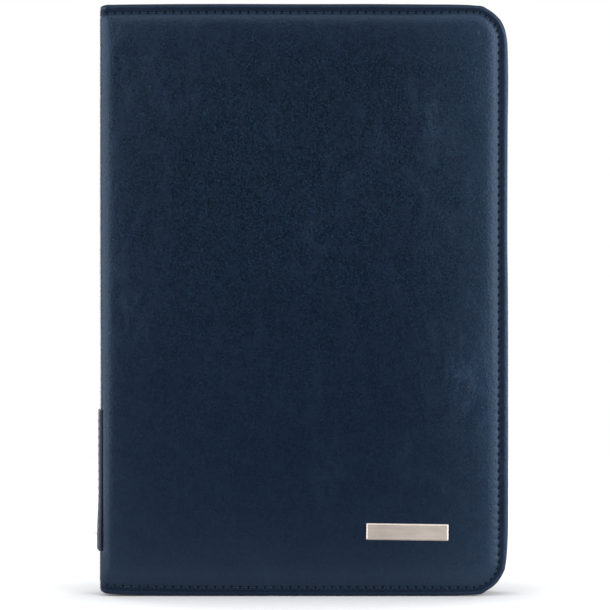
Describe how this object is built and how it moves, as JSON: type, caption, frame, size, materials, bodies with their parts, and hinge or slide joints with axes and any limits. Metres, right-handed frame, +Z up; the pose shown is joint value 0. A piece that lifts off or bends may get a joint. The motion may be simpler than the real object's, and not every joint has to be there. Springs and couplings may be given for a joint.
{
  "type": "tablet keyboard case",
  "caption": "Upright leather folio case for a tablet, with stitched padded cover, spine with pen loop, built-in slim keyboard, corner elastics and fold-out stand.",
  "frame": {"origin": "bottom centre of the closed case standing upright", "axes": "+Z up along the spine, +X from the spine to the fore edge, -Y the way the front cover faces"},
  "size_m": [0.187, 0.0322, 0.268],
  "materials": {
    "case_leather": "dark navy grained leather, satin",
    "suede_lining": "dark grey brushed suede",
    "grey_board": "pressed grey board",
    "foam_padding": "thin polyether foam",
    "badge_metal": "satin, bare",
    "plated_steel": "zinc plated",
    "magnet": "nickel plated",
    "elastic_band": "black woven elastic",
    "keyboard_shell": "fine moulded texture",
    "adhesive_tape": "foam tape",
    "key_cap": "soft matt",
    "membrane_film": "clear film with printed tracks",
    "dome_rubber": "silicone",
    "circuit_board": "solder mask",
    "battery_pouch": "foil pouch",
    "lens": "clear",
    "switch_plastic": "satin"
  },
  "bodies": {
    "back_cover": {"back_leather": "case_leather", "back_board": "grey_board", "back_lining": "suede_lining", "corner_elastics": "elastic_band", "closing_keepers": "plated_steel", "stand_keeper": "plated_steel", "stand_hinge_strip": "case_leather"},
    "spine": {"spine_leather": "case_leather", "spine_board": "grey_board", "spine_lining": "suede_lining", "pen_loop": "case_leather"},
    "front_cover": {"front_leather": "case_leather", "front_foam": "foam_padding", "front_board": "grey_board", "front_lining": "suede_lining", "badge_plate": "badge_metal", "badge_backer": "plated_steel", "closing_magnets": "magnet", "keyboard_tape": "adhesive_tape", "keyboard_base": "keyboard_shell", "keyboard_top": "keyboard_shell", "key_backplate": "plated_steel", "key_membrane": "membrane_film", "key_domes": "dome_rubber", "keyboard_pcb": "circuit_board", "keyboard_battery": "battery_pouch", "usb_socket": "plated_steel", "indicator_lenses": "lens", "keyboard_screws": "plated_steel"},
    "stand_flap": {"stand_leather": "case_leather", "stand_board": "grey_board", "stand_lining": "suede_lining", "stand_magnet": "magnet"},
    "power_switch": {"power_slider": "switch_plastic"},
    "connect_key": {"connect_button": "switch_plastic"},
    "key_escape_body": {"key_escape": "key_cap"},
    "keys_function_row_body": {"keys_function_row": "key_cap"},
    "key_delete_body": {"key_delete": "key_cap"},
    "keys_number_row_body": {"keys_number_row": "key_cap"},
    "key_backspace_body": {"key_backspace": "key_cap"},
    "key_tab_body": {"key_tab": "key_cap"},
    "keys_upper_letter_row_body": {"keys_upper_letter_row": "key_cap"},
    "key_caps_lock_body": {"key_caps_lock": "key_cap"},
    "keys_home_letter_row_body": {"keys_home_letter_row": "key_cap"},
    "key_enter_body": {"key_enter": "key_cap"},
    "key_shift_left_body": {"key_shift_left": "key_cap"},
    "keys_lower_letter_row_body": {"keys_lower_letter_row": "key_cap"},
    "key_shift_right_body": {"key_shift_right": "key_cap"},
    "key_arrow_up_body": {"key_arrow_up": "key_cap"},
    "key_control_body": {"key_control": "key_cap"},
    "key_function_body": {"key_function": "key_cap"},
    "key_menu_body": {"key_menu": "key_cap"},
    "key_alt_body": {"key_alt": "key_cap"},
    "key_space_body": {"key_space": "key_cap"},
    "key_alt_right_body": {"key_alt_right": "key_cap"},
    "key_control_right_body": {"key_control_right": "key_cap"},
    "key_arrow_left_body": {"key_arrow_left": "key_cap"},
    "key_arrow_down_body": {"key_arrow_down": "key_cap"},
    "key_arrow_right_body": {"key_arrow_right": "key_cap"}
  },
  "joints": [
    {"name": "spine_fold", "type": "hinge", "parent": "back_cover", "child": "spine", "pos_m": [-0.09006, 0.01231, 0.134], "axis": [0, 0, -1], "range_deg": [0, 90]},
    {"name": "cover_fold", "type": "hinge", "parent": "spine", "child": "front_cover", "pos_m": [-0.09006, -0.01331, 0.134], "axis": [0, 0, -1], "range_deg": [0, 90]},
    {"name": "stand_fold", "type": "hinge", "parent": "back_cover", "child": "stand_flap", "pos_m": [0.03705, 0.0137, 0.134], "axis": [0, 0, -1], "range_deg": [0, 75]},
    {"name": "power_slide", "type": "slide", "parent": "front_cover", "child": "power_switch", "axis": [0, 0, 1], "range_m": [0, 0.003]},
    {"name": "connect_press", "type": "slide", "parent": "front_cover", "child": "connect_key", "axis": [0, -1, 0], "range_m": [0, 0.0005], "stiffness_N_per_m": 500},
    {"name": "key_escape_press", "type": "slide", "parent": "front_cover", "child": "key_escape_body", "axis": [0, -1, 0], "range_m": [0, 0.0013], "stiffness_N_per_m": 150, "deforming": ["key_domes"]},
    {"name": "keys_function_row_press", "type": "slide", "parent": "front_cover", "child": "keys_function_row_body", "axis": [0, -1, 0], "range_m": [0, 0.0013], "stiffness_N_per_m": 1950, "deforming": ["key_domes"]},
    {"name": "key_delete_press", "type": "slide", "parent": "front_cover", "child": "key_delete_body", "axis": [0, -1, 0], "range_m": [0, 0.0013], "stiffness_N_per_m": 150, "deforming": ["key_domes"]},
    {"name": "keys_number_row_press", "type": "slide", "parent": "front_cover", "child": "keys_number_row_body", "axis": [0, -1, 0], "range_m": [0, 0.0013], "stiffness_N_per_m": 1950, "deforming": ["key_domes"]},
    {"name": "key_backspace_press", "type": "slide", "parent": "front_cover", "child": "key_backspace_body", "axis": [0, -1, 0], "range_m": [0, 0.0013], "stiffness_N_per_m": 150, "deforming": ["key_domes"]},
    {"name": "key_tab_press", "type": "slide", "parent": "front_cover", "child": "key_tab_body", "axis": [0, -1, 0], "range_m": [0, 0.0013], "stiffness_N_per_m": 150, "deforming": ["key_domes"]},
    {"name": "keys_upper_letter_row_press", "type": "slide", "parent": "front_cover", "child": "keys_upper_letter_row_body", "axis": [0, -1, 0], "range_m": [0, 0.0013], "stiffness_N_per_m": 1950, "deforming": ["key_domes"]},
    {"name": "key_caps_lock_press", "type": "slide", "parent": "front_cover", "child": "key_caps_lock_body", "axis": [0, -1, 0], "range_m": [0, 0.0013], "stiffness_N_per_m": 150, "deforming": ["key_domes"]},
    {"name": "keys_home_letter_row_press", "type": "slide", "parent": "front_cover", "child": "keys_home_letter_row_body", "axis": [0, -1, 0], "range_m": [0, 0.0013], "stiffness_N_per_m": 1650, "deforming": ["key_domes"]},
    {"name": "key_enter_press", "type": "slide", "parent": "front_cover", "child": "key_enter_body", "axis": [0, -1, 0], "range_m": [0, 0.0013], "stiffness_N_per_m": 150, "deforming": ["key_domes"]},
    {"name": "key_shift_left_press", "type": "slide", "parent": "front_cover", "child": "key_shift_left_body", "axis": [0, -1, 0], "range_m": [0, 0.0013], "stiffness_N_per_m": 150, "deforming": ["key_domes"]},
    {"name": "keys_lower_letter_row_press", "type": "slide", "parent": "front_cover", "child": "keys_lower_letter_row_body", "axis": [0, -1, 0], "range_m": [0, 0.0013], "stiffness_N_per_m": 1500, "deforming": ["key_domes"]},
    {"name": "key_shift_right_press", "type": "slide", "parent": "front_cover", "child": "key_shift_right_body", "axis": [0, -1, 0], "range_m": [0, 0.0013], "stiffness_N_per_m": 150, "deforming": ["key_domes"]},
    {"name": "key_arrow_up_press", "type": "slide", "parent": "front_cover", "child": "key_arrow_up_body", "axis": [0, -1, 0], "range_m": [0, 0.0013], "stiffness_N_per_m": 150, "deforming": ["key_domes"]},
    {"name": "key_control_press", "type": "slide", "parent": "front_cover", "child": "key_control_body", "axis": [0, -1, 0], "range_m": [0, 0.0013], "stiffness_N_per_m": 150, "deforming": ["key_domes"]},
    {"name": "key_function_press", "type": "slide", "parent": "front_cover", "child": "key_function_body", "axis": [0, -1, 0], "range_m": [0, 0.0013], "stiffness_N_per_m": 150, "deforming": ["key_domes"]},
    {"name": "key_menu_press", "type": "slide", "parent": "front_cover", "child": "key_menu_body", "axis": [0, -1, 0], "range_m": [0, 0.0013], "stiffness_N_per_m": 150, "deforming": ["key_domes"]},
    {"name": "key_alt_press", "type": "slide", "parent": "front_cover", "child": "key_alt_body", "axis": [0, -1, 0], "range_m": [0, 0.0013], "stiffness_N_per_m": 150, "deforming": ["key_domes"]},
    {"name": "key_space_press", "type": "slide", "parent": "front_cover", "child": "key_space_body", "axis": [0, -1, 0], "range_m": [0, 0.0013], "stiffness_N_per_m": 150, "deforming": ["key_domes"]},
    {"name": "key_alt_right_press", "type": "slide", "parent": "front_cover", "child": "key_alt_right_body", "axis": [0, -1, 0], "range_m": [0, 0.0013], "stiffness_N_per_m": 150, "deforming": ["key_domes"]},
    {"name": "key_control_right_press", "type": "slide", "parent": "front_cover", "child": "key_control_right_body", "axis": [0, -1, 0], "range_m": [0, 0.0013], "stiffness_N_per_m": 150, "deforming": ["key_domes"]},
    {"name": "key_arrow_left_press", "type": "slide", "parent": "front_cover", "child": "key_arrow_left_body", "axis": [0, -1, 0], "range_m": [0, 0.0013], "stiffness_N_per_m": 150, "deforming": ["key_domes"]},
    {"name": "key_arrow_down_press", "type": "slide", "parent": "front_cover", "child": "key_arrow_down_body", "axis": [0, -1, 0], "range_m": [0, 0.0013], "stiffness_N_per_m": 150, "deforming": ["key_domes"]},
    {"name": "key_arrow_right_press", "type": "slide", "parent": "front_cover", "child": "key_arrow_right_body", "axis": [0, -1, 0], "range_m": [0, 0.0013], "stiffness_N_per_m": 150, "deforming": ["key_domes"]}
  ]
}
